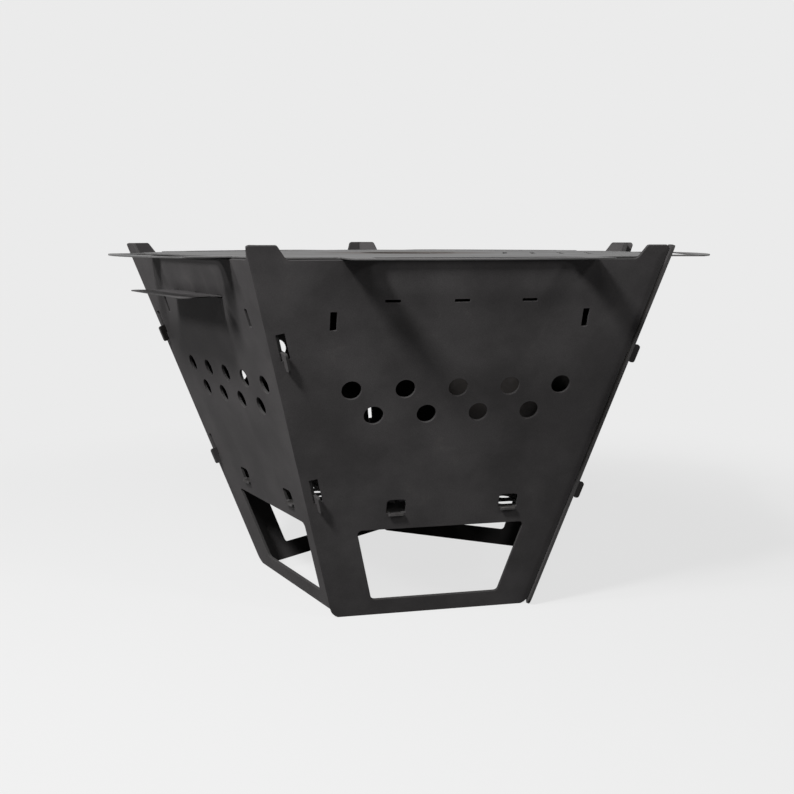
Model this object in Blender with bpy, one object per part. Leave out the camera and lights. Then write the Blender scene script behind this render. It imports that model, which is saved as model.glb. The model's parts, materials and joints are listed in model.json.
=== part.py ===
"""Smokeless fire pit of flat sheet parts that plug together without screws.

Five equal wall panels lean outward and hook into each other at the corners. Each
panel's right edge, seen from outside, carries two hooks in its own plane. They pass
through two slots near the left edge of the next panel and drop over the lower end of
each slot. A perforated floor plate hangs in keyholes of the walls by T-shaped tabs.
A round grill plate rests on the walls, between the ears at the corners, and lifts
off. A small side shelf is plugged into the left panel.

Units are metres, +Z is up, and the ground is z = 0. The middle of the front panel
faces -Y. Seen from outside, u runs to the right along a panel and v runs up its slope.
"""
import bpy
import bmesh
from math import acos, asin, atan, ceil, cos, pi, radians, sin, sqrt, tan
from mathutils import Matrix, Vector

# Walls
SIDES = 5
WALL_SHEET = 0.003
WALL_LEAN = radians(17.97)        # outward from upright
GROUND_APOTHEM = 0.1482           # pit axis to a wall's outer face, on the ground
FOOT_TRIM = 0.0002                # taken off all along the feet by the level cut
SHOULDER_Z = 0.3895               # top edge between the ears, on the outer face
EAR_Z = 0.4027
EAR_SLANT = 0.009                 # how far an ear's inner side leans over its height
LEFT_EAR_FROM = 0.1754            # middle of the panel to the foot of the left ear
RIGHT_EAR_FROM = 0.1667
EDGE_OVERHANG = 0.0102            # left edge past the corner line
CORNER_ROUND = 0.015
EAR_ROUND = 0.003
EAR_FOOT_ROUND = 0.006

# Hooks and their slots
HOOK_TOPS_Z = (0.1500, 0.3028)
HOOK_HEIGHT = 0.0193
NECK_HEIGHT = 0.0092
HOOK_REACH = 0.0083               # past the corner line
HOOK_ROUND = 0.0024
SLOT_WIDTH = 0.0090
DROP_ROOM = 0.0185                # free slot above a seated hook
SLOT_ROUND = 0.0006

# Openings in a wall
WINDOW_SILL_Z = 0.0190
WINDOW_HEAD_Z = 0.1060
WINDOW_INSET = 0.0397             # corner line to the window's side
WINDOW_MIDDLE = -0.0042           # along the panel
WINDOW_ROUND = 0.0045
AIR_HOLE_RADIUS = 0.0100
AIR_HOLE_PITCH = 0.0540
AIR_ROWS = ((0.2625, 5, -0.0015), (0.2355, 4, -0.0050))    # height, holes and middle
TALL_SLOTS_AT = (-0.1300, 0.1220)
TALL_SLOT_Z = 0.3320
TALL_SLOT_SIZE = (0.0065, 0.0190)

# Floor plate
FLOOR_SHEET = 0.0025
FLOOR_TOP_Z = 0.1246
TABS_AT = (-0.0558, 0.0665)
TAB_NECK = 0.0110
TAB_HEAD = (0.0165, 0.0024)
TAB_HEAD_CLEAR = 0.0005           # head to the wall's outer face
TAB_ROUND = 0.0008
KEY_WIDE = (0.0207, 0.0160)
KEY_ROUND = 0.0040
FLOOR_CORNER_ROUND = 0.005
GRATE_HOLE_RADIUS = 0.0090
GRATE_ROWS = ((0.033, 1), (0.069, 2), (0.105, 4), (0.141, 8))    # from the axis, and holes
GRATE_PITCH = 0.022
GRATE_SLOT = (0.022, 0.018)
GRATE_SLOT_ROUND = 0.005
GRATE_SLOT_AT = 0.0730            # to each side of a wall's middle
GRATE_SLOT_FROM = 0.1660          # pit axis to a slot

# Grill plate
GRILL_SHEET = 0.0015
GRILL_RADIUS = 0.346
WING_HALF_WIDTH = 0.125
WING_ROUND = 0.008
WING_ROOT_ROUND = 0.004
GRILL_CORNER_ROUND = 0.008
FIRE_HOLE_RADIUS = 0.057
GRILL_SLOT_COUNT = 4
GRILL_SLOT_FIRST = 0.115          # pit axis to the first slot
GRILL_SLOT_PITCH = 0.0325
GRILL_SLOT_SIZE = (0.100, 0.005)
GRILL_SLOT_ENDS = 0.48            # end rounding as a share of the slot's width

# Side shelf
SHELF_SHEET = 0.0012
SHELF_TOP_Z = 0.3516
SHELF_MIDDLE = -0.006             # along the panel
SHELF_DEPTH = 0.0475
SHELF_ROOT_HALF = 0.075
SHELF_TIP_HALF = 0.098
SHELF_FLARE_FROM = 0.012
SHELF_ROUND = 0.008
SHELF_TAB_COUNT = 3
SHELF_TAB_PITCH = 0.068
SHELF_TAB_WIDTH = 0.0142
SHELF_TAB_INSIDE = 0.014

# Fits
SEAT_GAP = 0.0003                 # between pieces that touch
SLOT_PLAY = 0.0004                # each side of a sheet in its slot
EAR_PLAY = 0.0012                 # grill plate to the ears
TAB_PLAY = 0.0005

# Roundness
CHORD_ERROR = 0.00012             # most that a facet cuts into a rounding
WIDEST_STEP = radians(50)         # most that a rounding turns from facet to facet
RIM_STEP = radians(3.5)
AIR_HOLE_SIDES = 20
GRATE_HOLE_SIDES = 10
FIRE_HOLE_SIDES = 48
SMOOTH_BELOW = radians(52)

# Worked out from the sizes above
SECTOR = 2 * pi / SIDES
HALF_TAN = tan(SECTOR / 2)
TAPER = atan(sin(WALL_LEAN) * HALF_TAN)                   # corner line, in a wall's plane
FACE_TURN = acos(cos(WALL_LEAN) ** 2 * cos(SECTOR) + sin(WALL_LEAN) ** 2)
EDGE_BACK = (WALL_SHEET + SEAT_GAP) / sin(FACE_TURN)      # right edge to the corner line
SHEET_PAST = WALL_SHEET / tan(FACE_TURN)                  # neighbour's sheet past that line
FRONT = -pi / 2
NAMES = ("front_panel", "right_panel", "back_right_panel", "back_left_panel", "left_panel")
PANELS = {name: FRONT + i * SECTOR for i, name in enumerate(NAMES)}


def outer_apothem(z):
    """Pit axis to the outer face of a wall at height z."""
    return GROUND_APOTHEM + z * tan(WALL_LEAN)


def inner_apothem(z):
    """Pit axis to the inner face of a wall at height z."""
    return outer_apothem(z) - WALL_SHEET / cos(WALL_LEAN)


def up_slope(z):
    """Distance up the outer face to height z."""
    return z / cos(WALL_LEAN)


def through_wall(z):
    """Distance up the slope at which a level sheet at height z crosses mid-wall."""
    return (z - WALL_SHEET / 2 * sin(WALL_LEAN)) / cos(WALL_LEAN)


def opening_for(sheet):
    """Height, up the slope, of an opening that a level sheet passes through."""
    return sheet / cos(WALL_LEAN) + WALL_SHEET * tan(WALL_LEAN) + 2 * SLOT_PLAY


def by_corner_line(side, along, past):
    """(u, v) at a distance along a wall's corner line and past it; side is -1 or 1."""
    u = GROUND_APOTHEM * HALF_TAN + along * sin(TAPER) + past * cos(TAPER)
    return side * u, along * cos(TAPER) - past * sin(TAPER)


def along_corner(z):
    """Distance along the corner line up to height z."""
    return z / (cos(TAPER) * cos(WALL_LEAN))


def edge_at(side, v, past):
    """u of a line that runs past the corner line, at v up the slope."""
    along = (v + past * sin(TAPER)) / cos(TAPER)
    return by_corner_line(side, along, past)[0]


def facet_turn(radius):
    """Turn from one facet to the next on a rounding of this radius."""
    return 2 * acos(max(1 - CHORD_ERROR / radius, cos(WIDEST_STEP / 2)))


def rounded(corners):
    """Points of a closed outline from (x, y, radius) corners."""
    points = []
    for i, (x, y, radius) in enumerate(corners):
        here = Vector((x, y))
        if radius <= 0:
            points.append(here)
            continue
        back = (Vector(corners[i - 1][:2]) - here).normalized()
        ahead = (Vector(corners[(i + 1) % len(corners)][:2]) - here).normalized()
        opening = back.angle(ahead)
        turn = pi - opening
        centre = here + (back + ahead).normalized() * (radius / sin(opening / 2))
        first = here + back * (radius / tan(opening / 2)) - centre
        way = 1 if back.x * ahead.y - back.y * ahead.x < 0 else -1
        steps = ceil(turn / facet_turn(radius))
        for step in range(steps + 1):
            points.append(centre + Matrix.Rotation(way * turn * step / steps, 2) @ first)
    return points


def box_loop(x, y, width, height, radius):
    """Rounded rectangle about a centre."""
    w, h = width / 2, height / 2
    return rounded([(x - w, y - h, radius), (x + w, y - h, radius),
                    (x + w, y + h, radius), (x - w, y + h, radius)])


def circle_loop(x, y, radius, sides):
    """Circle about a centre."""
    turns = [2 * pi * i / sides for i in range(sides)]
    return [Vector((x + radius * cos(a), y + radius * sin(a))) for a in turns]


def turned(points, angle):
    """Points of a sector that faces +Y, turned to face another way."""
    turn = Matrix.Rotation(angle - pi / 2, 2)
    return [turn @ Vector(p[:2]) for p in points]


def around(sector_corners):
    """One sector's (x, y, radius) corners repeated about the pit axis."""
    corners = []
    for i in range(SIDES):
        spots = turned(sector_corners, FRONT + i * SECTOR)
        corners += [(spot.x, spot.y, corner[2]) for spot, corner in zip(spots, sector_corners)]
    return corners


def hook_corners(top_z):
    """Corners of one hook, in the order that the right edge is walked upward."""
    top = along_corner(top_z)
    neck = top - NECK_HEIGHT
    foot = top - HOOK_HEIGHT
    tooth = SHEET_PAST + SLOT_PLAY
    path = [(neck, -EDGE_BACK, 0), (neck, tooth, 0), (foot, tooth, HOOK_ROUND),
            (foot, HOOK_REACH, HOOK_ROUND), (top, HOOK_REACH, HOOK_ROUND),
            (top, -EDGE_BACK, 0)]
    return [(*by_corner_line(1, along, past), radius) for along, past, radius in path]


def hook_slot(top_z):
    """Slot near the left edge that takes the neighbour's hook."""
    top = along_corner(top_z)
    low, high = top - NECK_HEIGHT - SEAT_GAP, top + DROP_ROOM
    outer = SHEET_PAST + SLOT_PLAY
    inner = outer - SLOT_WIDTH
    path = [(low, outer), (low, inner), (high, inner), (high, outer)]
    return rounded([(*by_corner_line(-1, along, past), SLOT_ROUND) for along, past in path])


def wall_outline():
    """Outer outline of a wall panel, from its left foot round to its left ear."""
    below = -WALL_SHEET * tan(WALL_LEAN) - FOOT_TRIM
    ear, shoulder = up_slope(EAR_Z), up_slope(SHOULDER_Z)
    corners = [(edge_at(-1, below, EDGE_OVERHANG), below, CORNER_ROUND),
               (edge_at(1, below, -EDGE_BACK), below, CORNER_ROUND)]
    for top_z in HOOK_TOPS_Z:
        corners += hook_corners(top_z)
    corners += [(edge_at(1, ear, -EDGE_BACK), ear, EAR_ROUND),
                (RIGHT_EAR_FROM + EAR_SLANT, ear, EAR_ROUND),
                (RIGHT_EAR_FROM, shoulder, EAR_FOOT_ROUND),
                (-LEFT_EAR_FROM, shoulder, EAR_FOOT_ROUND),
                (-LEFT_EAR_FROM - EAR_SLANT, ear, EAR_ROUND),
                (edge_at(-1, ear, EDGE_OVERHANG), ear, EAR_ROUND)]
    return rounded(corners)


def leg_window():
    """Wide opening between the legs of a wall."""
    sill, head = up_slope(WINDOW_SILL_Z), up_slope(WINDOW_HEAD_Z)
    return rounded([(edge_at(side, v, -WINDOW_INSET) + WINDOW_MIDDLE, v, WINDOW_ROUND)
                    for side, v in ((-1, sill), (1, sill), (1, head), (-1, head))])


def keyhole(u):
    """Opening for a tab of the floor plate: wide above, narrow where the tab sits."""
    mid = through_wall(FLOOR_TOP_Z - FLOOR_SHEET / 2)
    waist = mid + opening_for(FLOOR_SHEET) / 2
    top = waist + KEY_WIDE[1]
    foot = mid - opening_for(FLOOR_SHEET) / 2
    wide, narrow = KEY_WIDE[0] / 2, TAB_NECK / 2 + TAB_PLAY
    return rounded([(u - narrow, foot, SLOT_ROUND), (u + narrow, foot, SLOT_ROUND),
                    (u + narrow, waist, 0), (u + wide, waist, SLOT_ROUND),
                    (u + wide, top, KEY_ROUND), (u - wide, top, KEY_ROUND),
                    (u - wide, waist, SLOT_ROUND), (u - narrow, waist, 0)])


def shelf_tab_places():
    """Middle of each shelf tab along the panel."""
    first = SHELF_MIDDLE - SHELF_TAB_PITCH * (SHELF_TAB_COUNT - 1) / 2
    return [first + i * SHELF_TAB_PITCH for i in range(SHELF_TAB_COUNT)]


def wall_loops():
    """All the outlines that are cut in a wall's sheet."""
    loops = [wall_outline(), leg_window()]
    loops += [hook_slot(top_z) for top_z in HOOK_TOPS_Z]
    for z, count, middle in AIR_ROWS:
        start = middle - AIR_HOLE_PITCH * (count - 1) / 2
        loops += [circle_loop(start + i * AIR_HOLE_PITCH, up_slope(z), AIR_HOLE_RADIUS,
                              AIR_HOLE_SIDES) for i in range(count)]
    slit_v = through_wall(SHELF_TOP_Z - SHELF_SHEET / 2)
    slit = (SHELF_TAB_WIDTH + 2 * TAB_PLAY, opening_for(SHELF_SHEET), SLOT_ROUND)
    loops += [box_loop(u, slit_v, *slit) for u in shelf_tab_places()]
    loops += [box_loop(u, up_slope(TALL_SLOT_Z), *TALL_SLOT_SIZE, SLOT_ROUND)
              for u in TALL_SLOTS_AT]
    loops += [keyhole(u) for u in TABS_AT]
    return loops


def floor_loops():
    """Floor plate: a pentagon with two T tabs a side, and rows of holes along each side."""
    edge = inner_apothem(FLOOR_TOP_Z - FLOOR_SHEET) - SEAT_GAP
    neck_end = outer_apothem(FLOOR_TOP_Z) + TAB_HEAD_CLEAR
    head_end = neck_end + TAB_HEAD[1]
    neck, head = TAB_NECK / 2, TAB_HEAD[0] / 2
    sector = [(edge * HALF_TAN, edge, FLOOR_CORNER_ROUND)]
    for u in TABS_AT:
        x = -u
        sector += [(x + neck, edge, 0), (x + neck, neck_end, 0),
                   (x + head, neck_end, TAB_ROUND), (x + head, head_end, TAB_ROUND),
                   (x - head, head_end, TAB_ROUND), (x - head, neck_end, TAB_ROUND),
                   (x - neck, neck_end, 0), (x - neck, edge, 0)]
    loops = [rounded(around(sector))]
    for facing in PANELS.values():
        cuts = [box_loop(x, GRATE_SLOT_FROM, *GRATE_SLOT, GRATE_SLOT_ROUND)
                for x in (-GRATE_SLOT_AT, GRATE_SLOT_AT)]
        for away, count in GRATE_ROWS:
            cuts += [circle_loop(GRATE_PITCH * (i - (count - 1) / 2), away,
                                 GRATE_HOLE_RADIUS, GRATE_HOLE_SIDES) for i in range(count)]
        loops += [turned(cut, facing) for cut in cuts]
    return loops


def grill_loops():
    """Grill plate: a pentagon between the ears with a round wing over each wall."""
    edge = inner_apothem(SHOULDER_Z) - EAR_PLAY
    rim_half = asin(WING_HALF_WIDTH / GRILL_RADIUS)
    rim_depth = sqrt(GRILL_RADIUS ** 2 - WING_HALF_WIDTH ** 2)
    steps = ceil(2 * rim_half / RIM_STEP)
    sector = [(edge * HALF_TAN, edge, GRILL_CORNER_ROUND),
              (WING_HALF_WIDTH, edge, WING_ROOT_ROUND),
              (WING_HALF_WIDTH, rim_depth, WING_ROUND)]
    for i in range(1, steps):
        turn = rim_half - 2 * rim_half * i / steps
        sector.append((GRILL_RADIUS * sin(turn), GRILL_RADIUS * cos(turn), 0))
    sector += [(-WING_HALF_WIDTH, rim_depth, WING_ROUND),
               (-WING_HALF_WIDTH, edge, WING_ROOT_ROUND)]
    loops = [rounded(around(sector)), circle_loop(0, 0, FIRE_HOLE_RADIUS, FIRE_HOLE_SIDES)]
    for i in range(GRILL_SLOT_COUNT):
        slot = box_loop(0, GRILL_SLOT_FIRST + i * GRILL_SLOT_PITCH, *GRILL_SLOT_SIZE,
                        GRILL_SLOT_SIZE[1] * GRILL_SLOT_ENDS)
        loops.append(turned(slot, PANELS["right_panel"]))
    return loops


def shelf_loops():
    """Side shelf with its origin on the wall's outer face; +Y points away from the pit."""
    tab_end = -(WALL_SHEET / cos(WALL_LEAN) + SHELF_TAB_INSIDE)
    tab = SHELF_TAB_WIDTH / 2
    corners = []
    for u in shelf_tab_places():
        u -= SHELF_MIDDLE
        corners += [(u - tab, SEAT_GAP, 0), (u - tab, tab_end, SLOT_ROUND),
                    (u + tab, tab_end, SLOT_ROUND), (u + tab, SEAT_GAP, 0)]
    right = [(SHELF_ROOT_HALF, SEAT_GAP, SLOT_ROUND),
             (SHELF_ROOT_HALF, SHELF_FLARE_FROM, SHELF_ROUND),
             (SHELF_TIP_HALF, SHELF_DEPTH, SHELF_ROUND)]
    corners = corners + right + [(-x, y, r) for x, y, r in reversed(right)]
    return [rounded(corners)]


def sheet_metal(name, colour, roughness):
    """Coated steel of one sub-part."""
    material = bpy.data.materials.new(name)
    material.use_nodes = True
    shader = material.node_tree.nodes["Principled BSDF"]
    shader.inputs["Base Color"].default_value = (*colour, 1)
    shader.inputs["Roughness"].default_value = roughness
    shader.inputs["Metallic"].default_value = 0.6
    return material


def cut_sheet(name, loops, sheet, colour, roughness):
    """A flat sheet part from its cut outlines, centred on its own XY plane."""
    curve = bpy.data.curves.new(name, "CURVE")
    curve.dimensions = "2D"
    curve.fill_mode = "BOTH"
    curve.extrude = sheet / 2
    for loop in loops:
        spline = curve.splines.new("POLY")
        spline.points.add(len(loop) - 1)
        for point, spot in zip(spline.points, loop):
            point.co = (spot.x, spot.y, 0, 1)
        spline.use_cyclic_u = True
    drawn = bpy.data.objects.new(name, curve)
    bpy.context.scene.collection.objects.link(drawn)
    mesh = bpy.data.meshes.new_from_object(drawn.evaluated_get(bpy.context.evaluated_depsgraph_get()))
    bpy.data.objects.remove(drawn)
    bm = bmesh.new()
    bm.from_mesh(mesh)
    bmesh.ops.remove_doubles(bm, verts=bm.verts, dist=0.000001)
    bmesh.ops.recalc_face_normals(bm, faces=bm.faces)
    bm.to_mesh(mesh)
    bm.free()
    mesh.shade_smooth()
    mesh.set_sharp_from_angle(angle=SMOOTH_BELOW)
    mesh.materials.clear()
    mesh.materials.append(sheet_metal(name, colour, roughness))
    part = bpy.data.objects.new(name, mesh)
    PARTS.objects.link(part)
    part.parent = AXIS
    return part


def level_feet(mesh):
    """Cuts a wall's lower edge level with the ground, and closes the cut."""
    bm = bmesh.new()
    bm.from_mesh(mesh)
    up = Vector((0, cos(WALL_LEAN), -sin(WALL_LEAN)))
    foot = Vector((0, 0, WALL_SHEET / 2))
    cut = bmesh.ops.bisect_plane(bm, geom=bm.verts[:] + bm.edges[:] + bm.faces[:], dist=0.000001,
                                 plane_co=foot, plane_no=up, clear_inner=True)
    rim = [piece for piece in cut["geom_cut"] if isinstance(piece, bmesh.types.BMEdge)]
    bmesh.ops.edgeloop_fill(bm, edges=rim)
    bmesh.ops.recalc_face_normals(bm, faces=bm.faces)
    bm.to_mesh(mesh)
    bm.free()


def make_walls():
    """Five equal panels about the pit axis, with feet cut level."""
    for name, facing in PANELS.items():
        wall = cut_sheet(name, wall_loops(), WALL_SHEET, (0.022, 0.021, 0.021), 0.48)
        level_feet(wall.data)
        outward = Vector((cos(facing), sin(facing), 0))
        normal = outward * cos(WALL_LEAN) - Vector((0, 0, sin(WALL_LEAN)))
        wall.location = outward * GROUND_APOTHEM - normal * (WALL_SHEET / 2)
        wall.rotation_euler = (pi / 2 + WALL_LEAN, 0, facing + pi / 2)


def make_floor_plate():
    """Perforated plate that carries the fire."""
    floor = cut_sheet("floor_plate", floor_loops(), FLOOR_SHEET, (0.030, 0.028, 0.027), 0.6)
    floor.location.z = FLOOR_TOP_Z - FLOOR_SHEET / 2


def make_grill_plate():
    """Round plate on top, seated on the inner rim of the walls' top edges."""
    grill = cut_sheet("grill_plate", grill_loops(), GRILL_SHEET, (0.060, 0.059, 0.059), 0.42)
    wall_top = SHOULDER_Z + WALL_SHEET * sin(WALL_LEAN)
    grill.location.z = wall_top + SEAT_GAP + GRILL_SHEET / 2


def make_side_shelf():
    """Shelf plugged into the slits of the left panel."""
    shelf = cut_sheet("side_shelf", shelf_loops(), SHELF_SHEET, (0.045, 0.044, 0.044), 0.45)
    facing = PANELS["left_panel"]
    outward = Vector((cos(facing), sin(facing), 0))
    sideways = Vector((-sin(facing), cos(facing), 0))
    shelf.location = outward * outer_apothem(SHELF_TOP_Z) + sideways * SHELF_MIDDLE
    shelf.location.z = SHELF_TOP_Z - SHELF_SHEET / 2
    shelf.rotation_euler.z = facing - pi / 2


def centre_on_origin():
    """Moves the pit axis so that the overall box is centred over the origin."""
    bpy.context.view_layer.update()
    spots = [part.matrix_world @ vertex.co for part in PARTS.objects if part.type == "MESH"
             for vertex in part.data.vertices]
    for i in (0, 1):
        reach = [spot[i] for spot in spots]
        AXIS.location[i] = -(min(reach) + max(reach)) / 2


for old in list(bpy.data.objects):
    bpy.data.objects.remove(old)
PARTS = bpy.data.collections.new("smokeless_fire_pit")
bpy.context.scene.collection.children.link(PARTS)
AXIS = bpy.data.objects.new("pit_axis", None)
PARTS.objects.link(AXIS)

make_walls()
make_floor_plate()
make_grill_plate()
make_side_shelf()
centre_on_origin()
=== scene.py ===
# %% [markdown]
# # A fire pit of plugged-together sheet
#
# The pit is eight sheets of steel: five leaning walls that hook into each other, a
# perforated floor plate, a round grill plate and a small side shelf. Their solids are
# already modelled. This lesson dresses them: it sets up the camera and the studio, cuts the
# grill plate's hand slots, breaks the sharp cut edges, and gives each sheet its finish.

# %% Load the solids
import json
from math import cos, degrees, radians, sin

import bpy
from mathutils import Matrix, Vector


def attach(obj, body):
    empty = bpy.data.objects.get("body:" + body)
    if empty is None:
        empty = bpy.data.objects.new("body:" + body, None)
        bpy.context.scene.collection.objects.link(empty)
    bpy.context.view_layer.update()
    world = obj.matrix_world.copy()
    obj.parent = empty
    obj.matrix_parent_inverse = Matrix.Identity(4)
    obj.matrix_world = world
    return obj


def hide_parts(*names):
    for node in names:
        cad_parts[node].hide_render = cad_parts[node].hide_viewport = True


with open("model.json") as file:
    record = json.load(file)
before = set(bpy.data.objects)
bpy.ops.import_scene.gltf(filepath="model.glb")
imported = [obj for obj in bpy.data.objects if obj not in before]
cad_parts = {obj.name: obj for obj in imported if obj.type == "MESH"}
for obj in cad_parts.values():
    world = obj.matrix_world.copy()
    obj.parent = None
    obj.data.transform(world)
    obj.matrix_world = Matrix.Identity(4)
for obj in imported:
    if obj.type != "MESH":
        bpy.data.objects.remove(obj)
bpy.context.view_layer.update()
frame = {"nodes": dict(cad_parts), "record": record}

nodes = frame["nodes"]
print("nodes:", ", ".join(sorted(nodes)))

# %% [markdown]
# ## Sizes of the pit
#
# The hand slots and the finishes follow these sizes of the solids, in metres. Each wall is
# listed with the direction that it faces, in degrees about the pit's axis, where 0 is +X
# and -90 is the front. The axis stands 2 mm in front of the origin.

# %% Sizes
AXIS_Y = -0.001925
WALL_FACING = {"front_panel": -90, "right_panel": -18, "back_right_panel": 54,
               "back_left_panel": 126, "left_panel": 198}
WALL_SHEET = 0.003
WALL_LEAN = radians(17.97)
GROUND_APOTHEM = 0.1482         # from the axis to a wall's outer face, at the ground
FLOOR_TOP = 0.1246
GRILL_TOP = 0.392226
print("walls lean", round(degrees(WALL_LEAN), 1), "degrees under a plate", GRILL_TOP, "m up")

# %% [markdown]
# ## The camera
#
# The photograph was taken from just above the grill plate, so that the plate is seen nearly
# edge-on, and a little to the left of the front wall. The place and the direction were
# worked out from the wall corners and the air holes, so they are typed in as numbers.

# %% Camera
EYE = Vector((-0.2775, -1.2211, 0.4104))
LOOK = Vector((0.20904, 0.96596, -0.15241))

lens = bpy.data.cameras.new("camera")
lens.lens = 46.95
lens.sensor_width = 36
camera = bpy.data.objects.new("camera", lens)
camera.location = EYE
camera.rotation_euler = LOOK.to_track_quat("-Z", "Y").to_euler()
bpy.context.scene.collection.objects.link(camera)
bpy.context.scene.camera = camera
bpy.context.scene.view_settings.view_transform = "Standard"
print("camera looks", round(degrees(LOOK.angle(Vector((LOOK.x, LOOK.y, 0)))), 1), "degrees down")

# %% [markdown]
# ## Short words for nodes
#
# The studio and the finishes are all built from shader nodes. Apart from the first two,
# each of these helpers adds one kind of node, feeds it and returns its output, so that a
# pattern reads like a sum.

# %% Helpers that add nodes
def node(tree, kind, **settings):
    """Adds a node and sets its properties."""
    made = tree.nodes.new(kind)
    for name, value in settings.items():
        setattr(made, name, value)
    return made


def feed(tree, socket, value):
    """Links an output to a socket, or types a number or colour in."""
    if isinstance(value, bpy.types.NodeSocket):
        tree.links.new(value, socket)
    elif isinstance(value, tuple) and len(value) == 3 and socket.type == "RGBA":
        socket.default_value = (*value, 1)
    else:
        socket.default_value = value


def maths(tree, operation, a, b=0.0, clamp=False):
    """One Math node."""
    made = node(tree, "ShaderNodeMath", operation=operation, use_clamp=clamp)
    feed(tree, made.inputs[0], a)
    feed(tree, made.inputs[1], b)
    return made.outputs[0]


def spread(tree, value, low, high, to_low=0.0, to_high=1.0):
    """Maps low..high of a value smoothly to to_low..to_high, and holds it outside."""
    made = node(tree, "ShaderNodeMapRange", interpolation_type="SMOOTHSTEP")
    for socket, number in zip(made.inputs[:5], (value, low, high, to_low, to_high)):
        feed(tree, socket, number)
    return made.outputs["Result"]


def blended(tree, share, first, second):
    """Mixes two colours."""
    made = node(tree, "ShaderNodeMix", data_type="RGBA")
    feed(tree, made.inputs["Factor"], share)
    feed(tree, made.inputs[6], first)
    feed(tree, made.inputs[7], second)
    return made.outputs[2]


def mixed(tree, share, first, second):
    """Mixes two shaders."""
    made = node(tree, "ShaderNodeMixShader")
    for socket, value in zip(made.inputs, (share, first, second)):
        feed(tree, socket, value)
    return made.outputs[0]


def coordinates(tree, place):
    """The X, Y and Z of a point."""
    made = node(tree, "ShaderNodeSeparateXYZ")
    feed(tree, made.inputs[0], place)
    return made.outputs


print("helpers ready")

# %% [markdown]
# ## The studio
#
# The pit stands on a pale grey floor that runs into a pale grey surround with no line
# between them. The camera, mirrors and glass all see that same grey, through the Light
# Path node, and close to the pit a share of the floor's own shading is mixed in, which
# keeps the pit's shadow.
#
# Four soft lamps light the pit. The strongest hangs front left, 42 degrees up. It lays
# the shadow of the grill plate's wings across both walls as long slanting bands. The lamp
# on the left shines straight at the left wall, and draws the shelf's shadow on it. The two
# weak ones in front soften those shadows. The walls lean out over the floor, so a floor that
# threw its full grey back up would fill the shadows in. It throws back a darker grey.

# %% Floor
STUDIO_GREY = 0.831                 # what the photograph's background measures, as light
FLOOR_SIZE = 60
FLOOR_SHOW = 0.14                   # the share of the floor's own shading beside the pit
SHOW_FROM, SHOW_TO = 0.45, 1.15     # the metres from the pit over which that share fades out
FLOOR_PAINT = 0.49                  # the colour of that shading
FLOOR_BOUNCE = 0.15                 # the colour that the floor throws back on the pit


def seen_ray(tree):
    """1 for camera, mirror and see-through rays, and 0 for the light that falls on things."""
    path = node(tree, "ShaderNodeLightPath").outputs
    straight = maths(tree, "ADD", path["Is Camera Ray"], path["Is Glossy Ray"], clamp=True)
    return maths(tree, "ADD", straight, path["Is Transmission Ray"], clamp=True)


bpy.ops.object.select_all(action="DESELECT")
bpy.ops.mesh.primitive_plane_add(size=FLOOR_SIZE, location=(0, 0, 0))
floor = bpy.context.object
floor.name = "studio_floor"
floor_paint = bpy.data.materials.new("studio floor")
floor_paint.use_nodes = True
tree = floor_paint.node_tree
unseen = tree.nodes["Principled BSDF"]
feed(tree, unseen.inputs["Base Color"], (FLOOR_BOUNCE,) * 3)
unseen.inputs["Roughness"].default_value = 1
unseen.inputs["Specular IOR Level"].default_value = 0
matt = node(tree, "ShaderNodeBsdfDiffuse")
feed(tree, matt.inputs["Color"], (FLOOR_PAINT,) * 3)
glow = node(tree, "ShaderNodeEmission")
feed(tree, glow.inputs["Color"], (STUDIO_GREY,) * 3)
away = node(tree, "ShaderNodeVectorMath", operation="LENGTH")
feed(tree, away.inputs[0], node(tree, "ShaderNodeTexCoord").outputs["Object"])
share = spread(tree, away.outputs["Value"], SHOW_FROM, SHOW_TO, FLOOR_SHOW, 0.0)
shown = mixed(tree, share, glow.outputs[0], matt.outputs[0])
surface = mixed(tree, seen_ray(tree), unseen.outputs[0], shown)
feed(tree, tree.nodes["Material Output"].inputs["Surface"], surface)
floor.data.materials.append(floor_paint)
print("floor of", [round(v, 1) for v in floor.dimensions[:2]], "m")

# %% Surround
SKY_STRENGTH = 0.08

world = bpy.data.worlds.new("studio")
bpy.context.scene.world = world
world.use_nodes = True
tree = world.node_tree
light = tree.nodes["Background"]
light.inputs["Color"].default_value = (1, 1, 1, 1)
light.inputs["Strength"].default_value = SKY_STRENGTH
seen = node(tree, "ShaderNodeBackground")
feed(tree, seen.inputs["Color"], (STUDIO_GREY,) * 3)
surface = mixed(tree, seen_ray(tree), light.outputs[0], seen.outputs[0])
feed(tree, tree.nodes["World Output"].inputs["Surface"], surface)
print("surround seen at", STUDIO_GREY, "and lighting at", SKY_STRENGTH)

# %% Soft lamps
LAMPS = {                       # the way to it, and its power in watts
    "front left softbox": ((-0.79, -0.80, 1.0), 120),
    "front right softbox": ((0.78, -1.30, 1.0), 15),
    "front softbox": ((-0.35, -1.85, 1.0), 12),
    "left softbox": ((-1.75, -0.55, 1.0), 42),
}
LAMP_DISTANCE = 2.6
LAMP_SIZE = 0.40
AIM = Vector((0, 0, 0.3))

for name, (way, power) in LAMPS.items():
    lamp = bpy.data.lights.new(name, "AREA")
    lamp.shape = "DISK"
    lamp.size = LAMP_SIZE
    lamp.energy = power
    holder = bpy.data.objects.new(name, lamp)
    holder.location = AIM + Vector(way).normalized() * LAMP_DISTANCE
    holder.rotation_euler = Vector(way).to_track_quat("Z", "Y").to_euler()
    bpy.context.scene.collection.objects.link(holder)
    print(name, "hangs", round(holder.location.z, 2), "m up")

# %% [markdown]
# ## Copies of the sheets
#
# Each solid gets a copy that will stand for it. The solids come in as loose triangles, so
# the copies are welded first: their corners are merged where they meet.

# %% Welded copies
WELD = 0.000005


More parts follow.
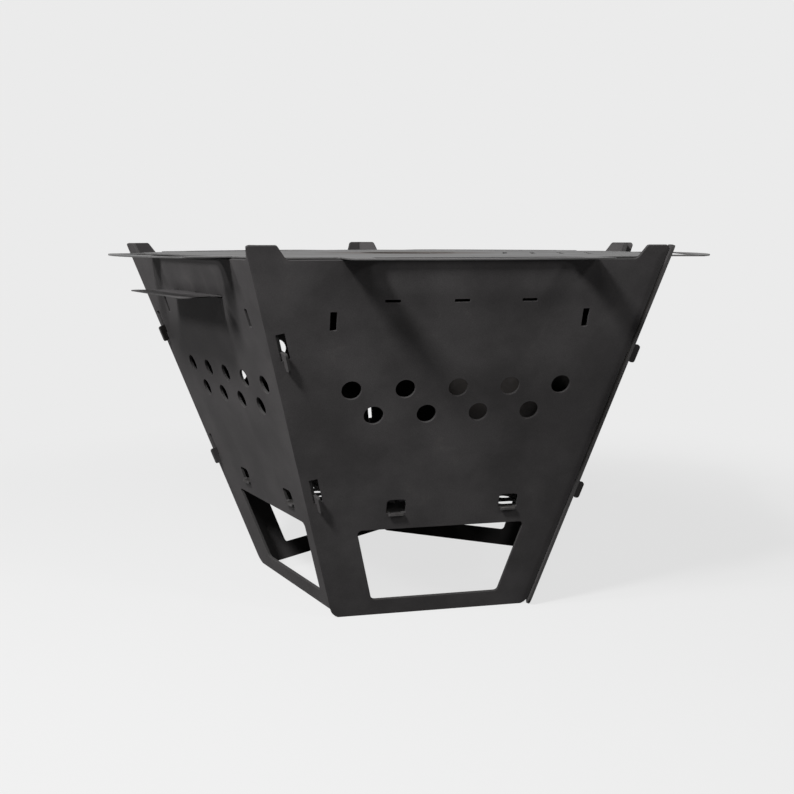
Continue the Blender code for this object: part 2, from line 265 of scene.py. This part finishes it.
def welded_copy(name, thing):
    """A copy of a solid with its loose triangles merged."""
    bpy.ops.object.select_all(action="DESELECT")
    thing.select_set(True)
    bpy.context.view_layer.objects.active = thing
    bpy.ops.object.duplicate()
    sheet = bpy.context.object
    sheet.name = name + "_sheet"
    sheet.data.name = name + "_sheet"
    bpy.ops.object.mode_set(mode="EDIT")
    bpy.ops.mesh.select_all(action="SELECT")
    bpy.ops.mesh.remove_doubles(threshold=WELD)
    bpy.ops.object.mode_set(mode="OBJECT")
    return sheet


sheets = {name: welded_copy(name, thing) for name, thing in nodes.items()}
print("copies:", len(sheets))

# %% [markdown]
# ## Hand slots
#
# Each wing of the grill plate is a handle: a wide slot for the fingers leaves a bar along
# the rim. From the camera the slots are only a hair's breadth high, but the lamps shine
# through them, and the patches of light that they throw on the walls show how long and
# how deep they are. One block with rounded upright edges is modelled on +X, as long and as
# wide as a slot and taller than the plate is thick.

# %% A block the size of a hand slot
SLOT_FROM = 0.2797              # from the pit axis
SLOT_TO = 0.3237
SLOT_HALF = 0.100
SLOT_ROUND = 0.012
BLOCK_HEIGHT = 0.02
BLOCK_MIDDLE = 0.3915           # halfway up the grill plate's sheet

bpy.ops.object.select_all(action="DESELECT")
bpy.ops.mesh.primitive_cube_add(size=1, location=(0, 0, 0))
block = bpy.context.object
bpy.ops.object.mode_set(mode="EDIT")
bpy.ops.transform.resize(value=(SLOT_TO - SLOT_FROM, 2 * SLOT_HALF, BLOCK_HEIGHT))
bpy.ops.transform.translate(value=((SLOT_FROM + SLOT_TO) / 2, 0, BLOCK_MIDDLE))
bpy.ops.mesh.select_mode(type="EDGE")
bpy.ops.mesh.select_all(action="DESELECT")
bpy.ops.object.mode_set(mode="OBJECT")
for edge in block.data.edges:
    low, high = (block.data.vertices[i].co for i in edge.vertices)
    edge.select = abs(low.z - high.z) > BLOCK_HEIGHT / 2
bpy.ops.object.mode_set(mode="EDIT")
bpy.ops.mesh.bevel(offset=SLOT_ROUND, segments=8, affect="EDGES")
bpy.ops.object.mode_set(mode="OBJECT")
print("block in mm:", [round(1000 * v) for v in block.dimensions])

# %% [markdown]
# A copy of the block is turned to each wall, and a Boolean takes all five away from the copy
# of the grill plate. The blocks have then done their work and are deleted.

# %% Cut the hand slots
grill = sheets["grill_plate"]
cutters = []
for facing in WALL_FACING.values():
    bpy.ops.object.select_all(action="DESELECT")
    block.select_set(True)
    bpy.context.view_layer.objects.active = block
    bpy.ops.object.duplicate()
    cutter = bpy.context.object
    cutter.location = (0, AXIS_Y, 0)
    cutter.rotation_euler = (0, 0, radians(facing))
    cut = grill.modifiers.new("hand slot", "BOOLEAN")
    cut.object = cutter
    cut.operation = "DIFFERENCE"
    cut.solver = "EXACT"
    cutters.append(cutter)
bpy.context.view_layer.objects.active = grill
for cut in list(grill.modifiers):
    bpy.ops.object.modifier_apply(modifier=cut.name)
for tool in cutters + [block]:
    bpy.data.objects.remove(tool)
print("grill plate with its slots:", len(grill.data.polygons), "faces")

# %% [markdown]
# ## Broken edges
#
# The sheets are cut by laser and then powder coated, and the coat runs round every cut
# edge in a radius of about a quarter of a millimetre. It is far too fine to see as a
# shape, but it catches the light as a thin bright line, and without it the sheets look
# like cut card. The triangles of each copy are joined up into flat faces, and a narrow
# Bevel is applied to every edge that turns sharply. Each copy then stands for its solid,
# and rides on the same body.

# %% Break the edges
FLAT = radians(0.5)             # faces that turn less than this are joined up
SHARP = radians(40)             # edges that turn more than this are broken
EDGE_WIDTH = 0.00025

body_of = {name: body for body, names in frame["record"]["behaviour"]["bodies"].items()
           for name in names}
for name, sheet in sheets.items():
    bpy.ops.object.select_all(action="DESELECT")
    sheet.select_set(True)
    bpy.context.view_layer.objects.active = sheet
    bpy.ops.object.mode_set(mode="EDIT")
    bpy.ops.mesh.select_all(action="SELECT")
    bpy.ops.mesh.dissolve_limited(angle_limit=FLAT)
    bpy.ops.object.mode_set(mode="OBJECT")
    bevel = sheet.modifiers.new("broken edges", "BEVEL")
    bevel.width = EDGE_WIDTH
    bevel.segments = 2
    bevel.limit_method = "ANGLE"
    bevel.angle_limit = SHARP
    bevel.use_clamp_overlap = False
    bevel.harden_normals = True
    bpy.ops.object.modifier_apply(modifier=bevel.name)
    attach(sheet, body_of[name])
    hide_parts(name)
    print(name, "has", len(sheet.data.polygons), "faces with its edges broken")

# %% [markdown]
# ## The finishes
#
# All eight sheets wear a satin black heat-resistant coat. From near by such a coat is never
# one flat colour: it has a fine orange peel, its gloss and its depth wander from patch to
# patch, and dust and handling leave faint lighter smudges. Heat dulls and browns it, and
# smoke lays soot on whatever faces the fire; that soot is also painted shade, laid where the
# pit's inside lies in shade. The patterns read Object coordinates, which are metres here, so
# every scale below counts the spots in a metre.

# %% The coat
COAT = (0.038, 0.0362, 0.0366)
DUSTY = (0.060, 0.057, 0.055)
# This dark colour is soot and also painted shade, for the walls' inner faces where the pit's
# inside lies in shade.
SOOT_AND_SHADE = (0.0120, 0.0110, 0.0105)
CUT_EDGE = (0.030, 0.029, 0.029)

CLOUDS, SMUDGES, PEEL, GRAIN = 14, 38, 620, 1400
PEEL_HEIGHT = 0.00006


def mottle(tree, place, scale, detail=3.0, rough=0.5, twist=0.0):
    """Cloudy noise; scale is the number of clouds in a metre."""
    made = node(tree, "ShaderNodeTexNoise")
    feed(tree, made.inputs["Vector"], place)
    made.inputs["Scale"].default_value = scale
    made.inputs["Detail"].default_value = detail
    made.inputs["Roughness"].default_value = rough
    made.inputs["Distortion"].default_value = twist
    return made.outputs["Fac"]


def coated(name, seed, colour=COAT, gloss=0.6, level=0.012):
    """A satin coat: returns its material, tree, shader, place, colour and roughness so far.

    The seed shifts the patterns, so that no two sheets are marked alike.
    """
    material = bpy.data.materials.new(name)
    material.use_nodes = True
    tree = material.node_tree
    shader = tree.nodes["Principled BSDF"]
    shader.inputs["Specular IOR Level"].default_value = level
    where = node(tree, "ShaderNodeTexCoord").outputs["Object"]
    shift = node(tree, "ShaderNodeMapping")
    shift.inputs["Location"].default_value = (seed * 1.7, seed * 0.9, seed * 0.4)
    feed(tree, shift.inputs["Vector"], where)
    place = shift.outputs[0]
    clouds = mottle(tree, place, CLOUDS, 4, 0.55)
    smudges = mottle(tree, place, SMUDGES, 5, 0.6, 0.8)
    grain = mottle(tree, place, GRAIN, 2, 0.6)
    dust = maths(tree, "MULTIPLY", spread(tree, smudges, 0.52, 0.78),
                 spread(tree, clouds, 0.4, 0.7))
    shade = blended(tree, maths(tree, "MULTIPLY", dust, 0.35), colour, DUSTY)
    fleck = maths(tree, "MULTIPLY", spread(tree, grain, 0.3, 0.7, 0.88, 1.12),
                  spread(tree, clouds, 0.3, 0.7, 0.82, 1.18))
    tinted = node(tree, "ShaderNodeVectorMath", operation="SCALE")
    feed(tree, tinted.inputs[0], shade)
    feed(tree, tinted.inputs["Scale"], fleck)
    rough = maths(tree, "ADD", spread(tree, clouds, 0.3, 0.7, gloss - 0.05, gloss + 0.05),
                  maths(tree, "MULTIPLY", dust, 0.12))
    peel = node(tree, "ShaderNodeBump")
    peel.inputs["Strength"].default_value = 0.35
    peel.inputs["Distance"].default_value = PEEL_HEIGHT
    feed(tree, peel.inputs["Height"], mottle(tree, place, PEEL, 2, 0.5))
    feed(tree, shader.inputs["Normal"], peel.outputs[0])
    return material, tree, shader, where, tinted.outputs[0], rough


def finish_coat(sheet, material, tree, shader, colour, rough):
    """Ties the last colour and roughness to the shader, and puts the material on a sheet."""
    feed(tree, shader.inputs["Base Color"], colour)
    feed(tree, shader.inputs["Roughness"], rough)
    sheet.data.materials.clear()
    sheet.data.materials.append(material)
    print(sheet.name, "wears", material.name, "of", len(tree.nodes), "nodes")


# %% [markdown]
# ### The walls
#
# A wall's outer face, its inner face and its cut edges differ. A plane through the outer
# face tells them apart: a point's depth behind it is 0 on the outer face, 3 mm on the
# inner one and between these on a cut edge. The inner face is darkened from the floor plate
# up to the grill plate, partly as soot and partly as painted shade of the pit's shaded
# inside, and the ears above it stay clean. The cut edges are a little darker than the faces.

# %% Walls
SOOT_AND_SHADE_RISE = 0.05                # the height over which the soot and painted shade come in
SOOT_AND_SHADE_FADE, SOOT_AND_SHADE_END = 0.380, 0.389


def height_above(tree, place, normal, start):
    """Distance of a point from the plane that faces a normal and lies start from the origin."""
    made = node(tree, "ShaderNodeVectorMath", operation="DOT_PRODUCT")
    feed(tree, made.inputs[0], place)
    made.inputs[1].default_value = normal
    return maths(tree, "SUBTRACT", made.outputs["Value"], start)


for seed, (name, facing) in enumerate(WALL_FACING.items(), 1):
    material, tree, shader, place, colour, rough = coated(name + " coat", seed)
    normal = (cos(radians(facing)) * cos(WALL_LEAN), sin(radians(facing)) * cos(WALL_LEAN),
              -sin(WALL_LEAN))
    start = GROUND_APOTHEM * cos(WALL_LEAN) + AXIS_Y * normal[1]
    depth = maths(tree, "MULTIPLY", height_above(tree, place, normal, start), -1.0)
    inside = spread(tree, depth, WALL_SHEET - 0.0003, WALL_SHEET - 0.00005)
    cut = maths(tree, "MULTIPLY", spread(tree, depth, 0.0001, 0.0004),
                maths(tree, "SUBTRACT", 1.0, inside))
    height = coordinates(tree, place)["Z"]
    rising = spread(tree, height, FLOOR_TOP, FLOOR_TOP + SOOT_AND_SHADE_RISE)
    covered = spread(tree, height, SOOT_AND_SHADE_FADE, SOOT_AND_SHADE_END, 1.0, 0.0)
    smoke_and_shade = maths(tree, "MULTIPLY", inside, maths(tree, "MULTIPLY", rising, covered))
    patchy = spread(tree, mottle(tree, place, 22, 5, 0.65, 0.5), 0.25, 0.6, 0.55, 1.0)
    soot_and_shade = maths(tree, "MULTIPLY", smoke_and_shade, patchy)
    # Soot and painted shade: the inner face between floor plate and grill plate is darkened as
    # the pit's shaded inside.
    colour = blended(tree, cut, colour, CUT_EDGE)
    colour = blended(tree, soot_and_shade, colour, SOOT_AND_SHADE)
    rough = maths(tree, "ADD", rough, maths(tree, "MULTIPLY", soot_and_shade, 0.3), clamp=True)
    finish_coat(sheets[name], material, tree, shader, colour, rough)

# %% [markdown]
# ### The floor plate
#
# It carries the embers, so its coat is burnt to dull scale, with grey ash caught on top.

# %% Floor plate
ASH = (0.105, 0.099, 0.092)
SCALE_BLACK = (0.011, 0.010, 0.0095)

material, tree, shader, place, colour, rough = coated("floor plate scale", 11,
                                                      gloss=0.75, level=0.2)
height = coordinates(tree, place)["Z"]
upper = spread(tree, height, FLOOR_TOP - 0.0004, FLOOR_TOP - 0.0001)
caught = spread(tree, mottle(tree, place, 46, 6, 0.7, 1.2), 0.5, 0.72)
ashy = maths(tree, "MULTIPLY", maths(tree, "MULTIPLY", upper, caught), 0.6)
scaled = spread(tree, mottle(tree, place, 30, 4, 0.6), 0.3, 0.7)
burnt = blended(tree, scaled, SCALE_BLACK, colour)
colour = blended(tree, ashy, burnt, ASH)
finish_coat(sheets["floor_plate"], material, tree, shader, colour, rough)

# %% [markdown]
# ### The grill plate and the side shelf
#
# The grill plate is seen at a very low angle, where a satin coat shines. The heat of the
# fire hole bakes a dull brownish ring around it, with a ragged rim that comes from noise
# added to the distance from the axis. The underside over the pit is blackened, partly as
# soot and partly as painted shade under the plate. The shelf is clean.

# %% Grill plate
GRILL_COAT = (0.030, 0.029, 0.029)
BAKED = (0.034, 0.027, 0.023)
# Soot and painted shade for the underside over the pit, which lies in shade.
UNDERSIDE_SOOT_AND_SHADE = (0.008, 0.0075, 0.007)
BAKED_FROM, BAKED_TO = 0.075, 0.15      # the ring fades out between these distances
SHADED_SOOT_FROM, SHADED_SOOT_TO = 0.2, 0.3       # and so does the soot and painted shade beneath

material, tree, shader, place, colour, rough = coated("grill plate coat", 17, GRILL_COAT,
                                                      gloss=0.5, level=0.4)
spot = coordinates(tree, place)
across = maths(tree, "POWER", spot["X"], 2.0)
along = maths(tree, "POWER", maths(tree, "SUBTRACT", spot["Y"], AXIS_Y), 2.0)
reach = maths(tree, "SQRT", maths(tree, "ADD", across, along))
uneven = maths(tree, "MULTIPLY", mottle(tree, place, 16, 4), 0.04)
ragged = maths(tree, "ADD", reach, uneven)
baked = spread(tree, ragged, BAKED_FROM, BAKED_TO, 1.0, 0.0)
under = spread(tree, spot["Z"], GRILL_TOP - 0.0013, GRILL_TOP - 0.0011, 1.0, 0.0)
smoked_and_shaded = maths(tree, "MULTIPLY", under,
               spread(tree, ragged, SHADED_SOOT_FROM, SHADED_SOOT_TO, 1.0, 0.0))
colour = blended(tree, maths(tree, "MULTIPLY", baked, 0.8), colour, BAKED)
# Soot and painted shade: the underside over the pit is darkened as if in the plate's shade.
colour = blended(tree, smoked_and_shaded, colour, UNDERSIDE_SOOT_AND_SHADE)
rough = maths(tree, "ADD", rough, maths(tree, "MULTIPLY", baked, 0.18), clamp=True)
finish_coat(sheets["grill_plate"], material, tree, shader, colour, rough)

# %% Side shelf
material, tree, shader, place, colour, rough = coated("side shelf coat", 23,
                                                      gloss=0.5, level=0.05)
finish_coat(sheets["side_shelf"], material, tree, shader, colour, rough)
